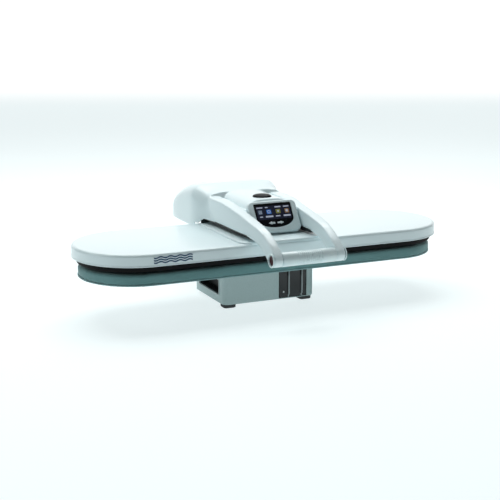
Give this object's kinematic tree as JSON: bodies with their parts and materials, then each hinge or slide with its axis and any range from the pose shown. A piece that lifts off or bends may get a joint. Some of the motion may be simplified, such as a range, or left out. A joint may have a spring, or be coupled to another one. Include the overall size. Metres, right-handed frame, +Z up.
{
  "type": "steam ironing press",
  "caption": "Large table-top steam ironing press: padded board on a pedestal base, wide round-ended heated head on a hinged arm with a bar handle, tilted screen and pull-out tank.",
  "frame": {"origin": "centre of the bounding box on the surface the feet stand on", "axes": "+X along the plates (user right to left is -X), -Y to the user (handle side), +Z up; press closed"},
  "size_m": [1.01, 0.6185, 0.2909],
  "materials": {
    "shell_white": "gloss moulded shell",
    "handle_white": "gloss moulded tube with grip ribs",
    "base_grey": "fine-textured moulded casing",
    "dark_plastic": "satin moulding",
    "rubber": "matt rubber",
    "steel": "zinc-plated pressed steel",
    "spring_steel": "bright spring wire",
    "cast_metal": "as-cast aluminium",
    "hot_plate": "black non-stick coating",
    "pad_fabric": "woven cotton cover over felt",
    "felt": "needled felt",
    "tank_smoked": "smoked clear plastic, nearly black",
    "circuit": "solder-masked circuit board",
    "hose": "silicone hose",
    "nylon": "natural nylon",
    "screen_glass": "black gloss screen window",
    "button_red": "dark red translucent-looking cap",
    "key_white": "backlit white key"
  },
  "bodies": {
    "root": {"foot_front_left": "rubber", "foot_front_right": "rubber", "foot_rear_left": "rubber", "foot_rear_right": "rubber", "floor_plate": "steel", "base_shell": "base_grey", "grip_pocket_left": "dark_plastic", "grip_pocket_right": "dark_plastic", "top_deck": "base_grey", "tower_shell": "base_grey", "boiler": "cast_metal", "pump": "dark_plastic", "control_board": "circuit", "mains_inlet": "dark_plastic", "steam_hose_base": "hose", "tank_seat": "rubber", "hinge_shaft": "steel", "board_beam_front": "steel", "board_beam_rear": "steel", "board_plate": "steel", "board_pad": "pad_fabric", "hinge_bracket_left": "steel", "hinge_bracket_right": "steel", "torsion_spring_left": "spring_steel", "torsion_spring_right": "spring_steel"},
    "tank": {"water_tank": "tank_smoked", "tank_cap": "dark_plastic", "tank_valve": "rubber"},
    "arm": {"arm_hood": "shell_white", "arm_beam": "steel", "arm_tray": "dark_plastic", "pivot_pin": "steel", "steam_hose_arm": "hose", "levelling_spring_front": "spring_steel", "levelling_spring_rear": "spring_steel", "handle_tube": "handle_white", "console_housing": "shell_white", "display_glass": "screen_glass", "display_module": "dark_plastic", "power_switch": "dark_plastic", "hinge_bush_left": "nylon", "hinge_bush_right": "nylon", "side_rail_left": "shell_white", "side_rail_right": "shell_white", "handle_ring_left": "shell_white", "handle_ring_right": "shell_white"},
    "head": {"head_cover": "shell_white", "heat_shield": "steel", "insulation": "felt", "heated_plate": "hot_plate", "heating_element": "steel", "pivot_bracket": "steel", "steam_inlet": "cast_metal"},
    "power_button": {"power_button": "dark_plastic"},
    "steam_button_left": {"steam_button_left": "button_red"},
    "steam_button_right": {"steam_button_right": "button_red"},
    "arrow_key_left": {"arrow_key_left": "key_white"},
    "arrow_key_right": {"arrow_key_right": "key_white"}
  },
  "joints": [
    {"name": "arm_hinge", "type": "hinge", "parent": "root", "child": "arm", "pos_m": [0, 0.1815, 0.196], "axis": [-1, 0, 0], "range_deg": [0, 42]},
    {"name": "head_tilt", "type": "hinge", "parent": "arm", "child": "head", "pos_m": [0, -0.0315, 0.21], "axis": [1, 0, 0], "range_deg": [-0.8, 0.8], "stiffness_Nm_per_rad": 120, "deforming": ["levelling_spring_front", "levelling_spring_rear"]},
    {"name": "tank_slide", "type": "slide", "parent": "root", "child": "tank", "axis": [0, -1, 0], "range_m": [0, 0.19]},
    {"name": "power_button_press", "type": "slide", "parent": "arm", "child": "power_button", "axis": [0, 0, -1], "range_m": [0, 0.003], "stiffness_N_per_m": 800, "springref_m": -0.001},
    {"name": "steam_button_left_press", "type": "slide", "parent": "arm", "child": "steam_button_left", "axis": [1, 0, 0], "range_m": [0, 0.0025], "stiffness_N_per_m": 600, "springref_m": -0.001},
    {"name": "steam_button_right_press", "type": "slide", "parent": "arm", "child": "steam_button_right", "axis": [-1, 0, 0], "range_m": [0, 0.0025], "stiffness_N_per_m": 600, "springref_m": -0.001},
    {"name": "arrow_key_left_press", "type": "slide", "parent": "arm", "child": "arrow_key_left", "axis": [0, 0.848, -0.5299], "range_m": [0, 0.0008], "stiffness_N_per_m": 600, "springref_m": -0.0005},
    {"name": "arrow_key_right_press", "type": "slide", "parent": "arm", "child": "arrow_key_right", "axis": [0, 0.848, -0.5299], "range_m": [0, 0.0008], "stiffness_N_per_m": 600, "springref_m": -0.0005}
  ]
}
